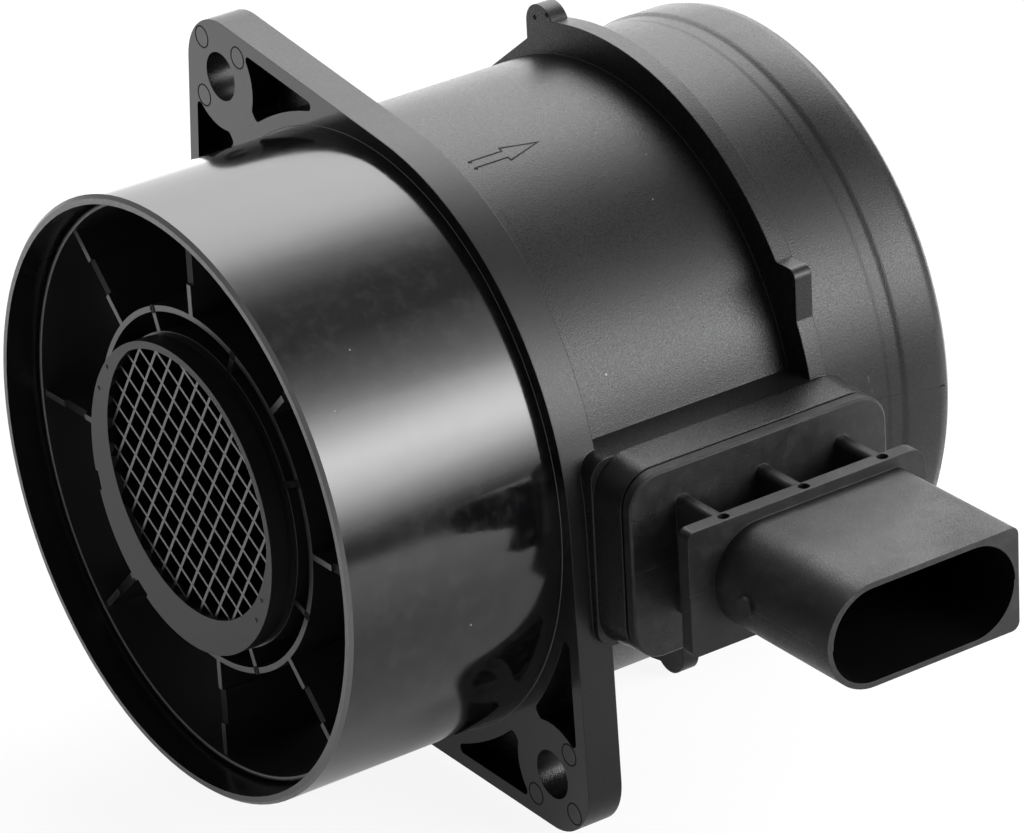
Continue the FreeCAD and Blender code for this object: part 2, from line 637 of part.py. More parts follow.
def channel_lid(gap):
    """Block of the measuring channel's cover."""
    return cover_block(CHANNEL_X[0] - CHANNEL_END_WALL, BAY_X[0] - COVER_LAP_X - COVER_WALL,
                       BLADE_HALF_Y - COVER_LAP_Y, gap)


def make_channel():
    """U-shaped measuring channel: in at -Y, round a half turn, out through the tip."""
    z0 = bay_floor_z()
    height = SENSOR_Z + BLADE_HALF_Z - COVER_T - z0
    inner_r, outer_r = CHANNEL_MID_R - CHANNEL_W / 2, CHANNEL_MID_R + CHANNEL_W / 2
    cx = (CHANNEL_X[0] + CHANNEL_X[1]) / 2
    cy = SENSOR_Y + CHANNEL_SHIFT
    bend = Part.makeCylinder(outer_r, height, Vector(cx, cy, z0))
    bend = bend.cut(Part.makeCylinder(inner_r, height, Vector(cx, cy, z0)))
    bend = bend.common(Part.makeBox(2 * outer_r, outer_r, height, Vector(cx - outer_r, cy, z0)))
    front = SENSOR_Y - BLADE_HALF_Y - CHANNEL_MARGIN
    inlet = Part.makeBox(CHANNEL_W, cy - front, height, Vector(cx + inner_r, front, z0))
    back = Part.makeBox(CHANNEL_W, CHANNEL_BACK, height, Vector(cx - outer_r, cy - CHANNEL_BACK, z0))
    tip_x = BLADE_TIP_X - CHANNEL_MARGIN
    tip = Part.makeBox(cx - inner_r - tip_x, CHANNEL_W, height, Vector(tip_x, cy - CHANNEL_BACK, z0))
    return bend.fuse([inlet, back, tip])


def terminal_y(index):
    """Y of one terminal, counted from 0 on the -Y side."""
    return SENSOR_Y + (index - (TERMINAL_COUNT - 1) / 2) * TERMINAL_PITCH


def make_terminal(index):
    """Flat connector blade with a pointed tip, running through to the electronics bay."""
    y = terminal_y(index)
    half = TERMINAL_W / 2
    corners = [
        (TERMINAL_END_X, y - half, 0),
        (TERMINAL_TIP_X - TERMINAL_POINT, y - half, 0),
        (TERMINAL_TIP_X, y - half / 2, 0),
        (TERMINAL_TIP_X, y + half / 2, 0),
        (TERMINAL_TIP_X - TERMINAL_POINT, y + half, 0),
        (TERMINAL_END_X, y + half, 0),
    ]
    return prism(corners, on_xy(SENSOR_Z - TERMINAL_T / 2), Vector(0, 0, TERMINAL_T))


def make_blade():
    """Blade in the air stream, open on its upper side over both bays."""
    blade = sensor_block(BLADE_TIP_X, SPIGOT_BACK_X, BLADE_HALF_Y, BLADE_HALF_Z, BLADE_ROUND)
    z0 = bay_floor_z()
    top = SENSOR_Z + BLADE_HALF_Z
    bay = Part.makeBox(BAY_X[1] - BAY_X[0], 2 * BAY_HALF_Y, top - z0,
                       Vector(BAY_X[0], SENSOR_Y - BAY_HALF_Y, z0))
    slot = chip_strip_box(COVER_FIT / 2)
    return blade.cut([bay, make_channel(), slot, bay_cover(0), channel_lid(0)])


def chip_strip_box(gap):
    """Block of the sensor strip that reaches from the board into the channel."""
    length, width, thick = CHIP_STRIP
    z0 = board_top_z()
    x1 = BOARD_X[0] + CHIP_LAP
    return Part.makeBox(length + 2 * gap, width + 2 * gap, thick + gap,
                        Vector(x1 - length - gap, SENSOR_Y - width / 2 - gap, z0))


def board_top_z():
    """Upper face of the circuit board."""
    return bay_floor_z() + BOARD_PLATE_T + BOARD_T


def make_carrier():
    """Blade, spigot, base flange, ribs, plate and connector shroud as one moulding."""
    carrier = make_base().fuse(make_blade())
    leads = [make_terminal(i) for i in range(TERMINAL_COUNT)]
    return carrier.cut([make_mouth(), seal_groove()] + leads).removeSplitter()


def make_port_seal():
    """Flat-sided rubber ring in the spigot's groove."""
    x0, x1 = SEAL_X - SEAL_W / 2 + SEAL_PLAY, SEAL_X + SEAL_W / 2 - SEAL_PLAY
    outer = sensor_block(x0, x1, PORT_HALF_Y, PORT_HALF_Z, PORT_ROUND)
    inner = sensor_block(x0, x1, SPIGOT_HALF_Y - SEAL_GROOVE, SPIGOT_HALF_Z - SEAL_GROOVE,
                         SPIGOT_ROUND - SEAL_GROOVE)
    return outer.cut(inner)


def make_electronics_cover():
    """Lid over the electronics bay."""
    return bay_cover(COVER_FIT)


def make_channel_cover():
    """Lid over the measuring channel."""
    return channel_lid(COVER_FIT)


def make_base_plate():
    """Aluminium plate on the floor of the electronics bay."""
    return Part.makeBox(BOARD_X[1] - BOARD_X[0], 2 * BOARD_HALF_Y, BOARD_PLATE_T,
                        Vector(BOARD_X[0], SENSOR_Y - BOARD_HALF_Y, bay_floor_z()))


def make_circuit_board():
    """Ceramic board on the aluminium plate."""
    return Part.makeBox(BOARD_X[1] - BOARD_X[0] - 2 * BOARD_INSET, 2 * (BOARD_HALF_Y - BOARD_INSET), BOARD_T,
                        Vector(BOARD_X[0] + BOARD_INSET, SENSOR_Y - BOARD_HALF_Y + BOARD_INSET,
                               bay_floor_z() + BOARD_PLATE_T))


def make_evaluation_chip():
    """Signal chip on the board."""
    length, width, thick = ASIC_SIZE
    return Part.makeBox(length, width, thick,
                        Vector(BOARD_X[0] + ASIC_SET, SENSOR_Y - width / 2, board_top_z()))


def make_sensor_chip():
    """Hot-film strip that reaches into the measuring channel."""
    return chip_strip_box(0)


def make_capacitor(index):
    """Small block capacitor near one edge of the board."""
    length, width, thick = CAPACITOR_SIZE
    return Part.makeBox(length, width, thick,
                        Vector(BOARD_X[0] + CAPACITOR_SET[0] + index * CAPACITOR_PITCH,
                               SENSOR_Y + CAPACITOR_SET[1], board_top_z()))


def make_thermistor():
    """Air temperature bead on a wire between two legs, on the blade's lower side."""
    y = SENSOR_Y - THERMISTOR_SET
    under = SENSOR_Z - BLADE_HALF_Z
    z = under - THERMISTOR_DROP
    half = THERMISTOR_SPAN / 2
    point = THERMISTOR_R - THERMISTOR_WIRE_R
    profile = [
        (-half, 0, 0),
        (-half, THERMISTOR_WIRE_R, 0),
        (-THERMISTOR_R - point, THERMISTOR_WIRE_R, 0),
        (-THERMISTOR_R, THERMISTOR_R, 0),
        (THERMISTOR_R, THERMISTOR_R, 0),
        (THERMISTOR_R + point, THERMISTOR_WIRE_R, 0),
        (half, THERMISTOR_WIRE_R, 0),
        (half, 0, 0),
    ]
    face = Part.Face(outline(profile, lambda u, v: Vector(THERMISTOR_X + u, y, z + v)))
    bead = face.revolve(Vector(THERMISTOR_X, y, z), Vector(1, 0, 0), 360)
    legs = []
    for side in (-half, half):
        foot = Vector(THERMISTOR_X + side, y, z - THERMISTOR_LEG_R)
        legs.append(Part.makeCylinder(THERMISTOR_LEG_R, under - foot.z, foot))
    return bead.fuse(legs)


def save(name, shape):
    """Writes one piece as parts/NAME.step."""
    solids = shape.Solids
    piece = solids[0] if len(solids) == 1 else shape
    print(name, "solids", len(solids), "valid", piece.isValid(), "volume", round(piece.Volume, 1))
    piece.exportStep(f"parts/{name}.step")


def main():
    """Builds every piece."""
    os.makedirs("parts", exist_ok=True)
    save("housing", make_housing())
    save("inlet_guide", make_inlet_guide())
    save("flow_grid", make_flow_grid())
    save("sensor_carrier", make_carrier())
    save("port_seal", make_port_seal())
    save("electronics_cover", make_electronics_cover())
    save("channel_cover", make_channel_cover())
    save("base_plate", make_base_plate())
    save("circuit_board", make_circuit_board())
    save("evaluation_chip", make_evaluation_chip())
    save("sensor_chip", make_sensor_chip())
    save("intake_thermistor", make_thermistor())
    for i in range(TERMINAL_COUNT):
        save(f"terminal_{i + 1}", make_terminal(i))
    for i in range(CAPACITOR_COUNT):
        save(f"capacitor_{i + 1}", make_capacitor(i))


main()
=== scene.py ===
import math

import bpy
import numpy as np
from mathutils import Matrix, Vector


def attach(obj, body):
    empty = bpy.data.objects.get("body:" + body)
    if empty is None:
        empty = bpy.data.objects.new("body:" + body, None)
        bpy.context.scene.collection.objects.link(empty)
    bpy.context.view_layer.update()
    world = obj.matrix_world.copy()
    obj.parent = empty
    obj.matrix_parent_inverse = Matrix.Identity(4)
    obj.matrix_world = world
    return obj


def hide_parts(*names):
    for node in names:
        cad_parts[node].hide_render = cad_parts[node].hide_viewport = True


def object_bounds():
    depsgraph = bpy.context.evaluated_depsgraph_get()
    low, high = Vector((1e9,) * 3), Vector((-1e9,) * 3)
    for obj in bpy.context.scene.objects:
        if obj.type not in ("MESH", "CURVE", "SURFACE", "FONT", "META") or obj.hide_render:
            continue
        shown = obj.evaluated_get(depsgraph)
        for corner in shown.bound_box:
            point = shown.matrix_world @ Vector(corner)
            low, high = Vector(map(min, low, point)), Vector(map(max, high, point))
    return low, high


bl_info = {
    "name": "Mass Air Flow Sensor Look",
    "version": (1, 0, 0),
    "blender": (4, 5, 0),
    "location": "View3D > Sidebar > Air Meter",
    "description": "Surfaces, small marks and studio for a moulded mass air flow sensor",
    "category": "Object",
}

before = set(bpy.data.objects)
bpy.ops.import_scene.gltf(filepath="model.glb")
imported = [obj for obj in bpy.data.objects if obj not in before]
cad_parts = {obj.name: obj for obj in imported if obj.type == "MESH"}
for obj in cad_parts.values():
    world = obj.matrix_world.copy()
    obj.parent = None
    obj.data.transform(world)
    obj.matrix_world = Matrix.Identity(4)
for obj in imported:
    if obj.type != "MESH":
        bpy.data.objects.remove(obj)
CAD_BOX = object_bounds()
MM = 0.001
BODY = "root"

# Places on the part, in millimetres, as the solids have them
SLEEVE_R = 39.9
BODY_R = 39.6
BARREL_R = 40.2
FLANGE_Y = 31.25
FLANGE_T = 5.2
COLLAR_Y = 68.45
HOLE_CIRCLE_R = 50.0
LOBE_ANGLES = (128.5, 315.3)
GRID_FRONT_Y = 1.5
GRID_WINDOW_R = 19.7
OUTLET_ROUND_Y = 90.8
OUTLET_BORE_R = 38.1
STEP_Y = (84.5, 86.6)
SPOKE_FRONT_Y = 5.2
MID_RING_R = 23.75
OUTER_RING_R = 35.5
GUIDE_FRONT_Y = 4.7
GUIDE_LIP_R = 37.95
SOCKET = ((61.2, 40.5, -9.0), (81.5, 69.1, 4.2))
SOCKET_FLOOR_DEPTH = 0.8

# Circles of the outlet's outer round: distance from the inlet rim, new distance, new radius
OUTLET_SHAPE = ((92.5, 90.9, 40.5), (93.5, 92.3, 40.13), (94.23, 93.33, 39.1), (94.5, 93.7, 37.9))

# Marks, in millimetres. Places on the duct are (distance from the inlet rim, bearing in degrees)
SUNK = 0.02
HALF_ROUND = np.linspace(-math.pi / 2, math.pi / 2, 6)
ARROW_BEARING = 72.95
PIN_BEARINGS = (-86.5, 3.5, 93.5)
LUG_DOTS = ((-13.4, 42.4), (-10.7, 43.5))
GRID_PIPS = ((20.0, 140), (19.9, 153), (19.0, -23), (19.2, -34))
SEAM = ((78.4, 4.6), (83.0, 3.8), (85.2, 3.4))
SEAM_END = ((86.2, 3.2), (91.8, 2.1))
BODY_SCUFF = ((55.25, 34.8), (55.43, 32.4), (55.69, 29.6))
BARREL_SCUFF = ((79.9, 9.1), (80.3, 5.8))
PARTING = ((39.25, 61), (39.25, 58), (39.2, 55), (39.05, 46), (38.8, 37.4), (37.9, 28.4), (37.2, 22))
LIGHT_DOTS = ((62.2, 62.3), (59.0, 53.0), (57.9, 79.4))

# Sizes of the moulded skin's features, in millimetres, and the angle under which faces shade as one
PATCH_SIZE = 14
SMEAR_SIZE = 2.4
SPECK_SPACING = 7.5
SMOOTH_ANGLE = 22.0

# Studio. Lights are stops of (bearing, brightness), and the floor's reflections change between two distances
LIGHT_DISTANCE = 0.75
LIGHT_CENTRE = (0.015, 0.047, 0.0)
UPPER_LIGHT = ((82, 0), (90, 0.5), (102, 3.7), (112, 8.8), (124, 7.7), (138, 5.3), (150, 3.4), (162, 2.1),
               (174, 1.5), (186, 1.4), (198, 1.1), (212, 0.2))
UPPER_TILTS = (0, 70)
SIDE_LIGHT = ((-9, 0), (-3, 0.1), (6, 5.0), (16, 16.5), (24, 20.5), (32, 15.0), (42, 3.9), (54, 1.5), (66, 0))
SIDE_TILTS = (2, 66)
ROOM_FILL = 0.3
ROOM_IN_GLOSS = 0.5
FLOOR_IN_GLOSS = 0.38
FLOOR_WHITE = 0.9
FLOOR_DROP = 0.0006
FLOOR_HALF = 2.5
LEFTWARDS = (-0.824, -0.566, 0)
LEFT_ZONE = (0.12, 0.18)
NEAR_ZONE = (0.09, 0.16)
FAR_ZONE = (0.2, 0.28)
CAMERA_LENS = 212.19
CAMERA_PLACE = (0.5819, -0.3451, 0.3346)
CAMERA_RIGHT = (0.58278, 0.81113, -0.04925)
CAMERA_UP = (-0.32704, 0.28958, 0.89954)
CAMERA_BACK = (0.74392, -0.50814, 0.43404)


def linear(text):
    """Linear colour with alpha from an sRGB hex value, by the sRGB curve."""
    value = np.array([int(text[i:i + 2], 16) for i in (1, 3, 5)]) / 255
    curve = np.where(value <= 0.04045, value / 12.92, ((value + 0.055) / 1.055) ** 2.4)
    return (*curve.tolist(), 1.0)


def colour(text, name, description):
    """Colour property whose default is an sRGB hex value."""
    return bpy.props.FloatVectorProperty(name=name, description=description, subtype="COLOR", size=4,
                                         min=0, max=1, default=linear(text))


def length(value, name, description):
    """Length property in metres whose default is given in millimetres."""
    return bpy.props.FloatProperty(name=name, description=description, subtype="DISTANCE", unit="LENGTH",
                                   default=value * MM, min=0, precision=5)


class AirMeterSizes(bpy.types.PropertyGroup):
    """Sizes that a user may change."""
    arrow_start: length(40.4, "Arrow start", "Distance of the arrow's tail from the inlet rim")
    arrow_neck: length(45.6, "Arrow head start", "Where the arrow's head begins")
    arrow_tip: length(50.7, "Arrow tip", "Where the arrow ends")
    arrow_shaft: length(1.36, "Arrow shaft", "Width of the arrow's shaft")
    arrow_head: length(2.62, "Arrow head", "Width of the arrow's head")
    line_width: length(0.24, "Line width", "Width of the arrow's raised line")
    line_height: length(0.09, "Line height", "Height of the arrow's raised line")
    mark_radius: length(1.45, "Mark radius", "Radius of the ejector pins' round marks")
    mark_reach: length(5.85, "Mark reach", "Distance of the marks from their screw hole")
    grain: length(0.19, "Grain", "Size of the moulded grain on the housing")
    edge: length(0.22, "Edge rounding", "Rounding that catches the light on moulded edges")


class AirMeterColours(bpy.types.PropertyGroup):
    """Colours that a user may change."""
    sleeve: colour("#070708", "Sleeve", "Polished inlet sleeve")
    housing: colour("#101011", "Housing", "Grained housing")
    inside: colour("#0b0b0c", "Inside", "Inside of the duct")
    guide: colour("#141415", "Guide", "Inlet guide")
    grid: colour("#141415", "Grid", "Flow grid")
    plug: colour("#0f0f10", "Plug", "Sensor carrier and connector")
    seal: colour("#0d0d0d", "Seal", "Rubber ring")
    metal: colour("#c9c6bf", "Metal", "Tin plated terminals")
    plate: colour("#bfc1c4", "Plate", "Aluminium plate")
    ceramic: colour("#d9d3c4", "Ceramic", "Ceramic board")


def sizes():
    """The scene's sizes."""
    return bpy.context.scene.air_meter_sizes


def colours():
    """The scene's colours."""
    return bpy.context.scene.air_meter_colours


# Materials

def add(tree, kind, inputs=None, **settings):
    """Adds a node, sets its settings, and fills its inputs with values or with other nodes' outputs."""
    made = tree.nodes.new(kind)
    for key, value in settings.items():
        setattr(made, key, value)
    for key, value in (inputs or {}).items():
        if isinstance(value, bpy.types.NodeSocket):
            tree.links.new(value, made.inputs[key])
        else:
            made.inputs[key].default_value = value
    return made


def blank(name):
    """New material with an empty node tree, and its tree."""
    material = bpy.data.materials.new(name)
    material.use_nodes = True
    material.node_tree.nodes.clear()
    return material, material.node_tree


def per_metre(millimetres):
    """Noise scale whose features are about this many millimetres wide."""
    return 1 / (millimetres * MM)


def moulded(name, base, roughness, grain, depth, specular=0.36, blotch=0.02, sparkle=0.0, edge=None,
            specks=0.0, steps=(), dust=0.0):
    """Moulded plastic: fine grain in the bump and roughness, slow patches in the colour, smears and specks of
    dust. steps are soft rises round the part, each from one distance from the inlet to another."""
    material, tree = blank(name)
    place = add(tree, "ShaderNodeTexCoord").outputs["Object"]
    fine = add(tree, "ShaderNodeTexNoise", {"Vector": place, "Scale": per_metre(grain), "Detail": 2.0,
                                            "Roughness": 0.6})
    slow = add(tree, "ShaderNodeTexNoise", {"Vector": place, "Scale": per_metre(PATCH_SIZE), "Detail": 4.0,
                                            "Roughness": 0.55})
    patches = add(tree, "ShaderNodeMapRange", {"Value": slow.outputs["Fac"], "From Min": 0.3, "From Max": 0.7,
                                               "To Min": roughness - blotch, "To Max": roughness + blotch})
    glints = add(tree, "ShaderNodeMapRange", {"Value": fine.outputs["Fac"], "From Min": 0.3, "From Max": 0.7,
                                              "To Min": sparkle, "To Max": -sparkle})
    sheen = add(tree, "ShaderNodeMath", {0: patches.outputs["Result"], 1: glints.outputs["Result"]},
                operation="ADD")
    dark = tuple(c * 0.7 for c in base[:3]) + (1.0,)
    light = tuple(min(1.0, c * 1.35) for c in base[:3]) + (1.0,)
    shade = add(tree, "ShaderNodeMix", {0: slow.outputs["Fac"], 6: dark, 7: light},
                data_type="RGBA").outputs[2]
    if dust:
        smears = add(tree, "ShaderNodeTexNoise", {"Vector": place, "Scale": per_metre(SMEAR_SIZE),
                                                  "Detail": 6.0, "Roughness": 0.7})
        film = add(tree, "ShaderNodeMapRange", {"Value": smears.outputs["Fac"], "From Min": 0.48,
                                                "From Max": 0.7, "To Max": dust})
        shade = add(tree, "ShaderNodeMix", {0: film.outputs["Result"], 6: shade, 7: linear("#8a8a8a")},
                    data_type="RGBA").outputs[2]
    if specks:
        crumbs = add(tree, "ShaderNodeTexVoronoi", {"Vector": place, "Scale": per_metre(SPECK_SPACING),
                                                    "Randomness": 1.0})
        dot = add(tree, "ShaderNodeMapRange", {"Value": crumbs.outputs["Distance"], "From Min": 0.009,
                                               "From Max": 0.02, "To Min": specks, "To Max": 0.0})
        shade = add(tree, "ShaderNodeMix", {0: dot.outputs["Result"], 6: shade, 7: linear("#a9a9a9")},
                    data_type="RGBA").outputs[2]
    height = add(tree, "ShaderNodeMath", {0: fine.outputs["Fac"], 1: depth * MM}, operation="MULTIPLY")
    if steps:
        along = add(tree, "ShaderNodeSeparateXYZ", {"Vector": place}).outputs["Y"]
    for start, end, rise in steps:
        slope = add(tree, "ShaderNodeMapRange", {"Value": along, "From Min": start * MM, "From Max": end * MM,
                                                 "To Max": rise * MM}, interpolation_type="SMOOTHSTEP")
        height = add(tree, "ShaderNodeMath", {0: height.outputs["Value"], 1: slope.outputs["Result"]},
                     operation="ADD")
    bump_inputs = {"Height": height.outputs["Value"], "Strength": 1.0, "Distance": 1.0}
    if edge:
        bump_inputs["Normal"] = add(tree, "ShaderNodeBevel", {"Radius": edge}, samples=6).outputs["Normal"]
    bump = add(tree, "ShaderNodeBump", bump_inputs)
    shader = add(tree, "ShaderNodeBsdfPrincipled", {
        "Base Color": shade, "Roughness": sheen.outputs["Value"], "Normal": bump.outputs["Normal"],
        "Specular IOR Level": specular, "IOR": 1.5})
    add(tree, "ShaderNodeOutputMaterial", {"Surface": shader.outputs["BSDF"]})
    return material


def polished_sleeve():
    """Glass-filled polyester from a polished mould: black, mirror-like, with a trace of flow lines."""
    return moulded("polished_polyester_sleeve", tuple(colours().sleeve), roughness=0.12, grain=0.4,
                   depth=0.0035, blotch=0.05, specks=0.5, dust=0.025)


def grained_housing():
    """The same polyester from a spark-eroded mould: an even fine grain that spreads the highlights."""
    return moulded("grained_polyester_housing", tuple(colours().housing), roughness=0.31,
                   grain=sizes().grain / MM, depth=0.034, specular=0.19, sparkle=0.12, specks=0.6,
                   edge=sizes().edge, steps=((82.5, 83.4, 0.09), (84.8, 85.9, 0.22)))


def flange_edge():
    """Edge of the flange, drier and duller than the faces beside it."""
    return moulded("dry_polyester_edge", tuple(colours().housing), roughness=0.34, grain=0.2, depth=0.02,
                   specular=0.19, sparkle=0.08, edge=sizes().edge)


def sleeve_rim():
    """Front edge of the polyester sleeve, duller than its side; its paler colour is painted light."""
    return moulded("pale_polyester_rim_painted_light", linear("#363637"), roughness=0.4, grain=0.6, depth=0.02,
                   specular=0.8, sparkle=0.08)


def moulded_line():
    """Thin raised lines of the same polyester, duller than the housing, in a darker colour that is painted
    shade along the marks' edges.
    """
    return moulded("raised_polyester_line_painted_shade", linear("#070707"), roughness=0.6, grain=0.4, depth=0.004,
                   specular=0.12)


def scuffed():
    """Scratched polyester: the torn skin scatters the light and looks pale."""
    return moulded("scuffed_polyester", linear("#4a4a4a"), roughness=0.6, grain=0.2, depth=0.02)


def duct_inside():
    """Inside of the duct, smooth and dark."""
    return moulded("polyester_duct_inside", tuple(colours().inside), roughness=0.28, grain=0.8,
                   depth=0.006, specular=0.6)


def guide_plastic():
    """Insert moulding with smoother faces, so its front edges catch the light."""
    return moulded("polyester_inlet_guide", tuple(colours().guide), roughness=0.34, grain=0.5,
                   depth=0.006, specular=0.55, edge=0.12 * MM)


def grid_plastic():
    """Fine lattice moulding of unfilled acetal, a shade lighter than the housing."""
    return moulded("acetal_flow_grid", tuple(colours().grid), roughness=0.42, grain=0.5, depth=0.006,
                   specular=0.28, edge=0.1 * MM)


def lattice_edge():
    """Narrow front edges of the lattice and guide, rounded over, and the thin rings at the flange corner and
    guide lip; their lighter colour is a painted highlight.
    """
    return moulded("acetal_edge_painted_highlight", linear("#2f2f31"), roughness=0.32, grain=0.4, depth=0.004,
                   specular=0.65)


def lattice_wall():
    """Plastic deep in the lattice, in sunk ejector faces and in the connector, where little light gets in;
    its near-black colour is painted shade.
    """
    return moulded("shaded_acetal_wall", linear("#040404"), roughness=0.5, grain=0.5, depth=0.004,
                   specular=0.08)


def plug_plastic():
    """Dull glass-filled polyester of the sensor, with a dry, finely mottled skin."""
    return moulded("dull_polyester_plug", tuple(colours().plug), roughness=0.48, grain=0.18, depth=0.024,
                   specular=0.22, blotch=0.12, sparkle=0.14, specks=0.8, edge=0.16 * MM, dust=0.03)


def seal_rubber():
    """Silicone ring, soft sheen."""
    return moulded("silicone_seal", tuple(colours().seal), roughness=0.6, grain=0.4, depth=0.006,
                   specular=0.35)


def brushed_metal(name, base, roughness, grain):
    """Rolled metal whose fine lines run along the part."""
    material, tree = blank(name)
    place = add(tree, "ShaderNodeTexCoord").outputs["Object"]
    stretched = add(tree, "ShaderNodeMapping", {"Vector": place, "Scale": (0.08, 1.0, 1.0)})
    lines = add(tree, "ShaderNodeTexNoise", {"Vector": stretched.outputs["Vector"], "Scale": per_metre(grain),
                                             "Detail": 4.0})
    rough = add(tree, "ShaderNodeMapRange", {"Value": lines.outputs["Fac"], "To Min": roughness - 0.08,
                                             "To Max": roughness + 0.08})
    bump = add(tree, "ShaderNodeBump", {"Height": lines.outputs["Fac"], "Distance": 0.003 * MM})
    shader = add(tree, "ShaderNodeBsdfPrincipled", {
        "Base Color": base, "Metallic": 1.0, "Roughness": rough.outputs["Result"],
        "Normal": bump.outputs["Normal"]})
    add(tree, "ShaderNodeOutputMaterial", {"Surface": shader.outputs["BSDF"]})
    return material


# Meshes

def merged(node):
    """Corner points and triangles of a CAD node, with corners that share a place joined."""
    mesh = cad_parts[node].data
    points = np.empty(len(mesh.vertices) * 3, np.float32)
    mesh.vertices.foreach_get("co", points)
    corners = np.empty(len(mesh.loops), np.int32)
    mesh.loops.foreach_get("vertex_index", corners)
    keys = np.round(points.reshape(-1, 3) / (0.001 * MM)).astype(np.int64)
    _, first, back = np.unique(keys, axis=0, return_index=True, return_inverse=True)
    triangles = back.reshape(-1)[corners].reshape(-1, 3)
    a, b, c = triangles.T
    kept = triangles[(a != b) & (b != c) & (c != a)]
    return points.reshape(-1, 3)[first], kept


def piece(name, points, faces, materials, index=None, smooth=None, rounded=None):
    """Object from points and faces. smooth is the angle under which neighbouring faces shade as one; rounded
    picks the points whose edges shade as one at any angle."""
    mesh = bpy.data.meshes.new(name)
    mesh.from_pydata(points.tolist(), [], faces.tolist())
    for material in materials:
        mesh.materials.append(material)
    if index is not None:
        mesh.polygons.foreach_set("material_index", index.astype(np.int32))
    if smooth is not None:
        mesh.shade_smooth()
        mesh.set_sharp_from_angle(angle=math.radians(smooth))
    if rounded is not None:
        ends = np.empty(len(mesh.edges) * 2, np.int32)
        mesh.edges.foreach_get("vertices", ends)
        sharp = np.empty(len(mesh.edges), bool)
        mesh.attributes["sharp_edge"].data.foreach_get("value", sharp)
        sharp &= ~rounded(points)[ends.reshape(-1, 2)].all(axis=1)
        mesh.attributes["sharp_edge"].data.foreach_set("value", sharp)
    mesh.update()
    made = bpy.data.objects.new(name, mesh)
    bpy.context.scene.collection.objects.link(made)
    return made


def skin(node, name, materials, choose=None, rounded=None, reshape=None):
    """A CAD node's own surface with smooth rounds, standing for that node. choose gives each face its
    material, from the faces' middles in millimetres and their normals."""
    points, faces = merged(node)
    if reshape is not None:
        points = reshape(points)
    index = None
    if choose is not None:
        middle = points[faces].mean(axis=1) / MM
        a, b, c = (points[faces[:, i]] for i in range(3))
        across = np.cross(b - a, c - a)
        normal = across / np.maximum(np.linalg.norm(across, axis=1, keepdims=True), 1e-20)
        index = choose(middle, normal)
    made = piece(name, points, faces, materials, index, SMOOTH_ANGLE, rounded)
    weighted = made.modifiers.new("even_shading", "WEIGHTED_NORMAL")
    weighted.keep_sharp = True
    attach(made, BODY)
    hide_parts(node)


def finish(node, material):
    """Gives a CAD node one material."""
    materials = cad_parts[node].data.materials
    materials.clear()
    materials.append(material)


def grid_faces(rows, columns, closed_rows=False, closed_columns=False):
    """Quads of a grid of points with this many rows and columns."""
    r = np.arange(rows if closed_rows else rows - 1)
    c = np.arange(columns if closed_columns else columns - 1)
    r, c = np.meshgrid(r, c, indexing="ij")
    r1, c1 = (r + 1) % rows, (c + 1) % columns
    quads = [r * columns + c, r1 * columns + c, r1 * columns + c1, r * columns + c1]
    return np.stack(quads, -1).reshape(-1, 4)


def on_duct(radius, y, bearing):
    """Points on a circle about the duct's axis: x = r cos b, z = r sin b, with y along the axis."""
    return np.stack([radius * np.cos(bearing), y, radius * np.sin(bearing)], -1)


def tube_faces(rows, columns, ring):
    """Quads of a tube of rows by columns points. The columns close on themselves and their number is even. A
    ring's rows close too, and else each end gets a flat cap."""
    faces = grid_faces(rows, columns, closed_rows=ring, closed_columns=True)
    if ring:
        return faces
    near = np.arange(columns // 2 - 1)
    far = columns - 1 - near
    cap = np.stack([near, near + 1, far - 1, far], -1)
    return np.concatenate([faces, cap, cap[:, ::-1] + (rows - 1) * columns])


def outward(points, faces):
    """The same closed mesh with its faces turned outwards, found from the sign of its volume."""
    a, b, c, d = (points[faces[:, i]] for i in range(4))
    volume = (a * np.cross(b, c)).sum() + (a * np.cross(c, d)).sum()
    return points, faces if volume > 0 else faces[:, ::-1]


def raised_line(path, width, height, radius):
    """Raised line on the duct: a half-round profile (height cos t, width sin t) carried along a path of
    (y, distance round the duct) and bent onto the radius."""
    path = np.asarray(path, float)
    before = np.roll(path, 1, axis=0)
    after = np.roll(path, -1, axis=0)
    before[0], after[-1] = 2 * path[0] - path[1], 2 * path[-1] - path[-2]
    forward = (path - before) / np.linalg.norm(path - before, axis=1, keepdims=True)
    onward = (after - path) / np.linalg.norm(after - path, axis=1, keepdims=True)
    side = np.stack([-(forward + onward)[:, 1], (forward + onward)[:, 0]], -1)
    side /= np.linalg.norm(side, axis=1, keepdims=True)
    mitre = 1 / np.maximum(0.35, side[:, 0] * -forward[:, 1] + side[:, 1] * forward[:, 0])
    out = width / 2 * np.sin(HALF_ROUND)[None, :] * mitre[:, None]
    y = path[:, None, 0] + side[:, None, 0] * out
    s = path[:, None, 1] + side[:, None, 1] * out
    r = radius - SUNK + height * np.cos(HALF_ROUND)[None, :] + 0 * s
    points = on_duct(r, y, s / radius)
    return outward(points.reshape(-1, 3), tube_faces(len(path), len(HALF_ROUND), ring=False))


def ring_mark(centre, radius, width, height, y, steps=40):
    """Round mark: a half-round bead (width sin t, height cos t) turned about a line along Y."""
    around = np.linspace(0, 2 * math.pi, steps, endpoint=False)
    r = radius + width / 2 * np.sin(HALF_ROUND)[None, :]
    x = centre[0] + r * np.cos(around)[:, None]
    z = centre[1] + r * np.sin(around)[:, None]
    depth = y - height * np.cos(HALF_ROUND)[None, :] + 0 * x
    points = np.stack([x, depth, z], -1)
    return outward(points.reshape(-1, 3), tube_faces(steps, len(HALF_ROUND), ring=True))


def round_duct(path, radius):
    """Path of (distance from the inlet rim, bearing) as (distance, length round the duct)."""
    return [(y, radius * math.radians(bearing)) for y, bearing in path]


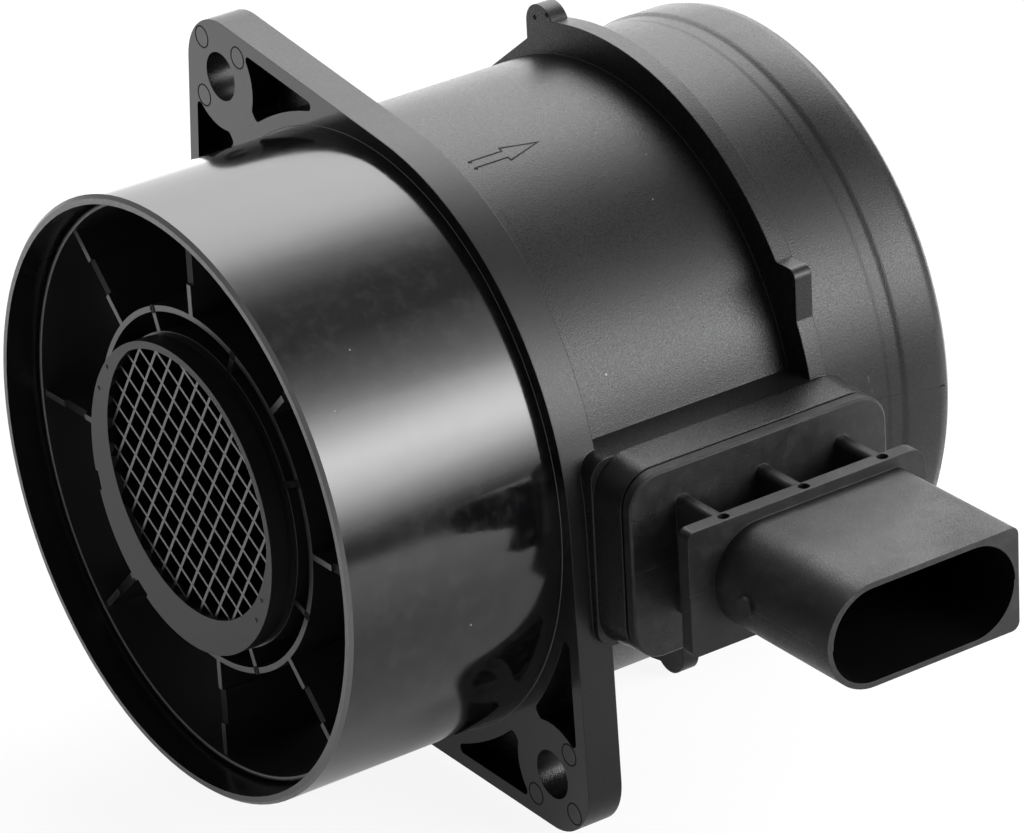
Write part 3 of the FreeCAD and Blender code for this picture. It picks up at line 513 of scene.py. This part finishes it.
def joined(parts):
    """Several point and face sets as one."""
    start = np.cumsum([0] + [len(p) for p, _ in parts[:-1]])
    faces = np.concatenate([f + s for (_, f), s in zip(parts, start)])
    return np.concatenate([p for p, _ in parts]), faces


def mark(name, parts, material):
    """One piece from several raised marks given in millimetres."""
    points, faces = joined(parts)
    made = piece(name, points * MM, faces, [material], smooth=60)
    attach(made, BODY)


def polar(radius, degrees):
    """X and Z at a radius and a bearing."""
    return np.array([radius * math.cos(math.radians(degrees)), radius * math.sin(math.radians(degrees))])


# Operators

class AIRMETER_OT_housing(bpy.types.Operator):
    """Dress the housing: polished sleeve, grained outside, dark inside"""
    bl_idname = "airmeter.housing"
    bl_label = "Housing"

    def execute(self, context):
        def choose(middle, normal):
            radius = np.hypot(middle[:, 0], middle[:, 2])
            facing = (middle[:, 0] * normal[:, 0] + middle[:, 2] * normal[:, 2]) / np.maximum(radius, 1e-6)
            on_flange = (middle[:, 1] > FLANGE_Y - 0.1) & (middle[:, 1] < FLANGE_Y + FLANGE_T + 0.1)
            index = np.ones(len(middle), int)
            index[(middle[:, 1] < FLANGE_Y) & (radius > SLEEVE_R - 1) & (facing > -0.1)] = 0
            index[(radius < SLEEVE_R - 0.9) & (facing < -0.4)] = 2
            index[on_flange & (radius > BARREL_R + 1.5) & (abs(normal[:, 1]) < 0.5) & (facing > 0.3)] = 3
            # The inlet's front face gets the rim's paler colour, which is painted light.
            index[(middle[:, 1] < 0.6) & (normal[:, 1] < -0.25)] = 4
            return index

        def rounded(points):
            y = points[:, 1] / MM
            return (y > OUTLET_ROUND_Y) | ((y > STEP_Y[0]) & (y < STEP_Y[1]))

        def outlet(points):
            """Ends the duct in a fuller round: each circle of the outer round moves to a new place and
            radius."""
            old, new, radii = np.array(OUTLET_SHAPE).T
            y, radius = points[:, 1] / MM, np.hypot(points[:, 0], points[:, 2]) / MM
            outer = (y > old[0] - 0.01) & (radius > OUTLET_BORE_R)
            inner = (y > old[-1] - 0.01) & ~outer
            scale = np.where(outer, np.interp(y, old, radii) / radius, 1.0)
            points[:, 0] *= scale
            points[:, 2] *= scale
            points[:, 1] = np.where(outer, np.interp(y, old, new), np.where(inner, new[-1], y)) * MM
            return points

        plastics = [polished_sleeve(), grained_housing(), duct_inside(), flange_edge(), sleeve_rim()]
        skin("housing", "duct_housing", plastics, choose, rounded, outlet)
        return {"FINISHED"}


class AIRMETER_OT_guide(bpy.types.Operator):
    """Dress the inlet guide"""
    bl_idname = "airmeter.guide"
    bl_label = "Inlet guide"

    def execute(self, context):
        def choose(middle, normal):
            behind = middle[:, 1] - SPOKE_FRONT_Y
            # Sunk ejector faces get the near-black painted shade, and the front of the outer ring the lighter
            # painted highlight.
            pad = (normal[:, 1] < -0.9) & (behind > 0.2) & (behind < 1)
            outer = (normal[:, 1] < -0.3) & (np.hypot(middle[:, 0], middle[:, 2]) > OUTER_RING_R)
            return np.where(outer, 2, pad.astype(int))

        skin("inlet_guide", "spoked_guide", [guide_plastic(), lattice_wall(), lattice_edge()], choose)
        return {"FINISHED"}


class AIRMETER_OT_grid(bpy.types.Operator):
    """Dress the flow grid"""
    bl_idname = "airmeter.grid"
    bl_label = "Flow grid"

    def execute(self, context):
        def choose(middle, normal):
            reach = np.hypot(middle[:, 0], middle[:, 2])
            behind = middle[:, 1] - GRID_FRONT_Y
            # Front faces of the lattice get the lighter painted highlight, and the walls inside the window
            # the near-black painted shade.
            front = (normal[:, 1] < -0.9) & (behind > 0.5) & (behind < 1.5)
            inside = (behind > 0.7) & (reach < GRID_WINDOW_R) & ~front
            return np.where(front, 1, np.where(inside, 2, 0))

        skin("flow_grid", "lattice_grid", [grid_plastic(), lattice_edge(), lattice_wall()], choose)
        return {"FINISHED"}


class AIRMETER_OT_sensor(bpy.types.Operator):
    """Dress the plug-in sensor, its covers and its seal"""
    bl_idname = "airmeter.sensor"
    bl_label = "Sensor"

    def execute(self, context):
        def choose(middle, normal):
            # Faces inside the connector's socket get the near-black painted shade.
            low, high = np.array(SOCKET)
            within = ((middle > low) & (middle < high)).all(axis=1)
            inwards = ((middle - (low + high) / 2) * normal)[:, 1:].sum(axis=1) < -0.1
            bottom = (normal[:, 0] > 0.9) & (middle[:, 0] < low[0] + SOCKET_FLOOR_DEPTH)
            return (within & (inwards | bottom)).astype(int)

        plastic = plug_plastic()
        skin("sensor_carrier", "sensor_plug", [plastic, lattice_wall()], choose)
        skin("port_seal", "socket_seal", [seal_rubber()])
        for node in ("electronics_cover", "channel_cover"):
            finish(node, plastic)
        return {"FINISHED"}


class AIRMETER_OT_electronics(bpy.types.Operator):
    """Dress the terminals, the boards and their parts"""
    bl_idname = "airmeter.electronics"
    bl_label = "Electronics"

    def execute(self, context):
        tin = brushed_metal("rolled_tin_plated_brass", tuple(colours().metal), roughness=0.3, grain=0.12)
        plate = brushed_metal("rolled_aluminium_plate", tuple(colours().plate), roughness=0.35,
                              grain=0.15)
        ceramic = moulded("fired_alumina_board", tuple(colours().ceramic), roughness=0.55, grain=0.2,
                          depth=0.004)
        epoxy = moulded("moulded_epoxy_chip", linear("#17181a"), roughness=0.5, grain=0.15, depth=0.004)
        glass = moulded("coated_glass_strip", linear("#5a6470"), roughness=0.15, grain=0.5, depth=0.001)
        finishes = {"base_plate": plate, "circuit_board": ceramic, "evaluation_chip": epoxy,
                    "sensor_chip": glass, "intake_thermistor": epoxy}
        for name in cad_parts.keys():
            if name.startswith("terminal_"):
                finishes[name] = tin
            if name.startswith("capacitor_"):
                finishes[name] = ceramic
        for name, material in finishes.items():
            finish(name, material)
        return {"FINISHED"}


class AIRMETER_OT_marks(bpy.types.Operator):
    """Add the arrow, the raised rings and lines, the small dots and the scuffs"""
    bl_idname = "airmeter.marks"
    bl_label = "Marks"

    def execute(self, context):
        size = sizes()
        # The arrow, ejector rings, lug dots and seams are raised lines whose darker colour is painted shade.
        line = moulded_line()
        tail, neck, tip = (v / MM for v in (size.arrow_start, size.arrow_neck, size.arrow_tip))
        shaft, head = size.arrow_shaft / MM / 2, size.arrow_head / MM / 2
        width, height = size.line_width / MM, size.line_height / MM
        at = BODY_R * math.radians(ARROW_BEARING)
        outline = [(tail + 0.35, at + shaft - 0.3), (tail, at + shaft - 0.12), (tail + 0.1, at + shaft),
                   (neck - 0.1, at + shaft), (neck, at + head), (tip, at + 0.2), (neck, at - head),
                   (neck - 0.1, at - shaft), (tail + 0.1, at - shaft), (tail, at - shaft - 0.12),
                   (tail + 0.35, at - shaft - 0.3)]
        mark("flow_arrow", [raised_line(outline, width, height, BODY_R)], line)
        rings = []
        for lobe in LOBE_ANGLES:
            for quarter in PIN_BEARINGS:
                centre = polar(HOLE_CIRCLE_R, lobe) + polar(size.mark_reach / MM, lobe + quarter)
                rings.append(ring_mark(centre, size.mark_radius / MM, width=0.24, height=0.08,
                                       y=FLANGE_Y + SUNK))
        mark("ejector_marks", rings, line)
        dots = [ring_mark(place, 0.22, width=0.3, height=0.12, y=COLLAR_Y + 0.05, steps=16)
                for place in LUG_DOTS]
        mark("lug_dots", dots, line)
        pins = [ring_mark(polar(MID_RING_R, 22.5 + 45 * i), 0.35, width=0.6, height=0.12,
                          y=SPOKE_FRONT_Y + SUNK, steps=20) for i in range(8)]
        # A thin ring in the lighter edge colour paints the highlight along the corner of sleeve and flange.
        corner = ring_mark((0.0, 0.0), SLEEVE_R + 0.35, width=0.16, height=0.06, y=FLANGE_Y + SUNK,
                           steps=240)
        mark("flange_corner_line", [corner], lattice_edge())
        # A ring in the lighter edge colour paints the highlight on the guide's lip.
        lip = ring_mark((0.0, 0.0), GUIDE_LIP_R, width=0.55, height=0.15, y=GUIDE_FRONT_Y + 0.03,
                        steps=200)
        mark("guide_lip", [lip], lattice_edge())
        mark("guide_pins", pins, lattice_wall())
        pips = [ring_mark(polar(radius, bearing), 0.15, width=0.36, height=0.14,
                          y=GRID_FRONT_Y + SUNK, steps=14) for radius, bearing in GRID_PIPS]
        mark("grid_pips", pips, grid_plastic())
        seam = raised_line(round_duct(SEAM, BARREL_R), width=0.14, height=0.035, radius=BARREL_R)
        seam_end = raised_line(round_duct(SEAM_END, BARREL_R), width=0.14, height=0.335, radius=BARREL_R)
        mark("mould_seam", [seam, seam_end], line)
        parting = raised_line(round_duct(PARTING, BODY_R), width=0.14, height=0.03, radius=BODY_R)
        mark("parting_line", [parting], line)
        scuffs = [raised_line(round_duct(path, radius), width=0.1, height=0.03, radius=radius)
                  for path, radius in ((BODY_SCUFF, BODY_R), (BARREL_SCUFF, BARREL_R))]
        for y, around in round_duct(LIGHT_DOTS, BODY_R):
            dot = [(y, around), (y + 0.2, around + 0.12)]
            scuffs.append(raised_line(dot, width=0.22, height=0.05, radius=BODY_R))
        mark("scuffs", scuffs, scuffed())
        return {"FINISHED"}


def softbox(name, stops, tilts):
    """Studio light as a patch of a sphere about the part. Bearing round the duct's axis and tilt towards +Y
    are its two parameters: P = C + D (cos t cos b, sin t, cos t sin b). The brightness is given by stops of
    (bearing, brightness) and fades at both ends of the tilt."""
    bearings = [bearing for bearing, _ in stops]
    low, high = bearings[0], bearings[-1]
    rows, columns = 48, 24
    across = np.radians(np.linspace(low, high, rows))[:, None]
    along = np.radians(np.linspace(*tilts, columns))[None, :]
    unit = np.stack([np.cos(along) * np.cos(across), np.sin(along) + 0 * across,
                     np.cos(along) * np.sin(across)], -1)
    points = (np.array(LIGHT_CENTRE) + LIGHT_DISTANCE * unit).reshape(-1, 3)
    material, tree = blank(name + "_glow")
    place = add(tree, "ShaderNodeUVMap", uv_map="glow").outputs["UV"]
    parts = add(tree, "ShaderNodeSeparateXYZ", {"Vector": place})
    ramp = add(tree, "ShaderNodeValToRGB", {"Fac": parts.outputs["X"]})
    ramp.color_ramp.interpolation = "B_SPLINE"
    peak = max(value for _, value in stops)
    elements = ramp.color_ramp.elements
    for i, (bearing, value) in enumerate(stops):
        position = (bearing - low) / (high - low)
        stop = elements[i] if i < 1 else elements[-1] if i == len(stops) - 1 else elements.new(position)
        stop.position = position
        stop.color = (value / peak, value / peak, value / peak, 1)
    near = add(tree, "ShaderNodeMapRange", {"Value": parts.outputs["Y"], "From Max": 0.25},
               interpolation_type="SMOOTHSTEP")
    far = add(tree, "ShaderNodeMapRange", {"Value": parts.outputs["Y"], "From Min": 1.0, "From Max": 0.75},
              interpolation_type="SMOOTHSTEP")
    fade = add(tree, "ShaderNodeMath", {0: near.outputs["Result"], 1: far.outputs["Result"]},
               operation="MULTIPLY")
    level = add(tree, "ShaderNodeMath", {0: fade.outputs["Value"], 1: ramp.outputs["Color"]},
                operation="MULTIPLY")
    scaled = add(tree, "ShaderNodeMath", {0: level.outputs["Value"], 1: peak}, operation="MULTIPLY")
    glow = add(tree, "ShaderNodeEmission", {"Strength": scaled.outputs["Value"]})
    clear = add(tree, "ShaderNodeBsdfTransparent")
    front = add(tree, "ShaderNodeAddShader", {0: glow.outputs["Emission"], 1: clear.outputs["BSDF"]})
    add(tree, "ShaderNodeOutputMaterial", {"Surface": front.outputs["Shader"]})
    made = piece(name, points, grid_faces(rows, columns), [material])
    layer = made.data.uv_layers.new(name="glow")
    corners = np.empty(len(made.data.loops), np.int32)
    made.data.loops.foreach_get("vertex_index", corners)
    u, v = np.meshgrid(np.linspace(0, 1, rows), np.linspace(0, 1, columns), indexing="ij")
    uv = np.stack([u, v], -1).reshape(-1, 2)[corners]
    layer.data.foreach_set("uv", uv.astype(np.float32).ravel())
    made.visible_camera = False
    made.visible_shadow = False


def seen(tree, glossy):
    """Share of the plain white: 1 for rays from the camera and through clear faces, the given value or output
    for rays off glossy faces, and 0 for the others."""
    rays = add(tree, "ShaderNodeLightPath")
    shine = add(tree, "ShaderNodeMath", {0: rays.outputs["Is Glossy Ray"], 1: glossy}, operation="MULTIPLY")
    first = add(tree, "ShaderNodeMath", {0: rays.outputs["Is Camera Ray"], 1: shine.outputs["Value"]},
                operation="MAXIMUM")
    return add(tree, "ShaderNodeMath", {0: first.outputs["Value"], 1: rays.outputs["Is Transmission Ray"]},
               operation="MAXIMUM").outputs["Value"]


class AIRMETER_OT_stage(bpy.types.Operator):
    """Set up the camera, the pale floor, the room and the lights"""
    bl_idname = "airmeter.stage"
    bl_label = "Studio"

    def execute(self, context):
        scene = context.scene
        scene.view_settings.view_transform = "Standard"
        self.camera(scene)
        self.floor()
        self.room(scene)
        softbox("upper_softbox", UPPER_LIGHT, UPPER_TILTS)
        softbox("side_softbox", SIDE_LIGHT, SIDE_TILTS)
        return {"FINISHED"}

    def camera(self, scene):
        """Long lens at the photograph's place, worked out from the duct's circles and straight edges."""
        lens = bpy.data.cameras.new("camera")
        lens.sensor_width = 36.0
        lens.lens = CAMERA_LENS
        lens.clip_start, lens.clip_end = 0.01, 20.0
        camera = bpy.data.objects.new("camera", lens)
        matrix = Matrix((CAMERA_RIGHT, CAMERA_UP, CAMERA_BACK)).transposed().to_4x4()
        matrix.translation = CAMERA_PLACE
        camera.matrix_world = matrix
        scene.collection.objects.link(camera)
        scene.camera = camera

    def floor(self):
        """Pale floor just under the lower lobe, with a faint shadow. In reflections it is brighter to the
        left and close by on the right, and dark farther out on the right."""
        low, half = CAD_BOX[0].z - FLOOR_DROP, FLOOR_HALF
        points = np.array([(-half, -half, low), (half, -half, low), (half, half, low), (-half, half, low)])
        material, tree = blank("matt_white_floor")
        place = add(tree, "ShaderNodeTexCoord").outputs["Object"]
        cloud = add(tree, "ShaderNodeTexNoise", {"Vector": place, "Scale": per_metre(90)})
        tone = add(tree, "ShaderNodeMix", {0: cloud.outputs["Fac"], 6: linear("#f3f3f3"),
                                           7: linear("#f7f7f7")}, data_type="RGBA")
        paint = add(tree, "ShaderNodeBsdfDiffuse", {"Color": tone.outputs[2]})

        def zone(distance, ends, start, end):
            """Value that goes from start to end between two distances."""
            return add(tree, "ShaderNodeMapRange", {"Value": distance, "From Min": ends[0],
                                                    "From Max": ends[1], "To Min": start,
                                                    "To Max": end}).outputs["Result"]

        leftwards = add(tree, "ShaderNodeVectorMath", {0: place, 1: LEFTWARDS},
                        operation="DOT_PRODUCT").outputs["Value"]
        rightwards = add(tree, "ShaderNodeSeparateXYZ", {"Vector": place}).outputs["X"]
        shown = seen(tree, zone(rightwards, FAR_ZONE, FLOOR_IN_GLOSS, 1.0))
        share = add(tree, "ShaderNodeMath", {0: shown, 1: FLOOR_WHITE}, operation="MULTIPLY")
        right = add(tree, "ShaderNodeMath", {0: zone(rightwards, NEAR_ZONE, 0.0, 2.0),
                                             1: zone(rightwards, FAR_ZONE, 0.0, -2.8)}, operation="ADD")
        lift = add(tree, "ShaderNodeMath", {0: zone(leftwards, LEFT_ZONE, 0.0, 1.9),
                                            1: right.outputs["Value"]}, operation="ADD")
        rays = add(tree, "ShaderNodeLightPath")
        extra = add(tree, "ShaderNodeMath", {0: rays.outputs["Is Glossy Ray"], 1: lift.outputs["Value"],
                                             2: 1.0}, operation="MULTIPLY_ADD")
        glow = add(tree, "ShaderNodeEmission", {"Strength": extra.outputs["Value"]})
        mix = add(tree, "ShaderNodeMixShader", {0: share.outputs["Value"], 1: paint.outputs["BSDF"],
                                                2: glow.outputs["Emission"]})
        add(tree, "ShaderNodeOutputMaterial", {"Surface": mix.outputs["Shader"]})
        piece("floor", points, np.array([[0, 1, 2, 3]]), [material])

    def room(self, scene):
        """Even soft light all round. The camera sees plain white there, and glossy faces a part of it."""
        world = bpy.data.worlds.new("room")
        scene.world = world
        world.use_nodes = True
        tree = world.node_tree
        tree.nodes.clear()
        fill = add(tree, "ShaderNodeBackground", {"Color": (1, 1, 1, 1), "Strength": ROOM_FILL})
        white = add(tree, "ShaderNodeBackground", {"Color": (1, 1, 1, 1), "Strength": 1.0})
        mix = add(tree, "ShaderNodeMixShader", {0: seen(tree, ROOM_IN_GLOSS),
                                                1: fill.outputs["Background"],
                                                2: white.outputs["Background"]})
        add(tree, "ShaderNodeOutputWorld", {"Surface": mix.outputs["Shader"]})


class AIRMETER_PT_panel(bpy.types.Panel):
    """Sizes, colours and steps of the air meter's look"""
    bl_idname = "AIRMETER_PT_panel"
    bl_label = "Air Meter"
    bl_space_type = "VIEW_3D"
    bl_region_type = "UI"
    bl_category = "Air Meter"

    def draw(self, context):
        for group in (context.scene.air_meter_sizes, context.scene.air_meter_colours):
            box = self.layout.box()
            for key in group.bl_rna.properties.keys():
                if key not in ("rna_type", "name"):
                    box.prop(group, key)
        for operator in OPERATORS:
            self.layout.operator(operator.bl_idname)


OPERATORS = (AIRMETER_OT_housing, AIRMETER_OT_guide, AIRMETER_OT_grid, AIRMETER_OT_sensor,
             AIRMETER_OT_electronics, AIRMETER_OT_marks, AIRMETER_OT_stage)
CLASSES = (AirMeterSizes, AirMeterColours, *OPERATORS, AIRMETER_PT_panel)


def register():
    """Registers the classes and hangs the properties on the scene."""
    for item in CLASSES:
        bpy.utils.register_class(item)
    bpy.types.Scene.air_meter_sizes = bpy.props.PointerProperty(type=AirMeterSizes)
    bpy.types.Scene.air_meter_colours = bpy.props.PointerProperty(type=AirMeterColours)


def unregister():
    """Takes the properties and the classes away again."""
    del bpy.types.Scene.air_meter_colours
    del bpy.types.Scene.air_meter_sizes
    for item in reversed(CLASSES):
        bpy.utils.unregister_class(item)


def main():
    """Runs every step in order."""
    register()
    for operator in OPERATORS:
        group, name = operator.bl_idname.split(".")
        getattr(getattr(bpy.ops, group), name)()


if __name__ == "__main__":
    main()
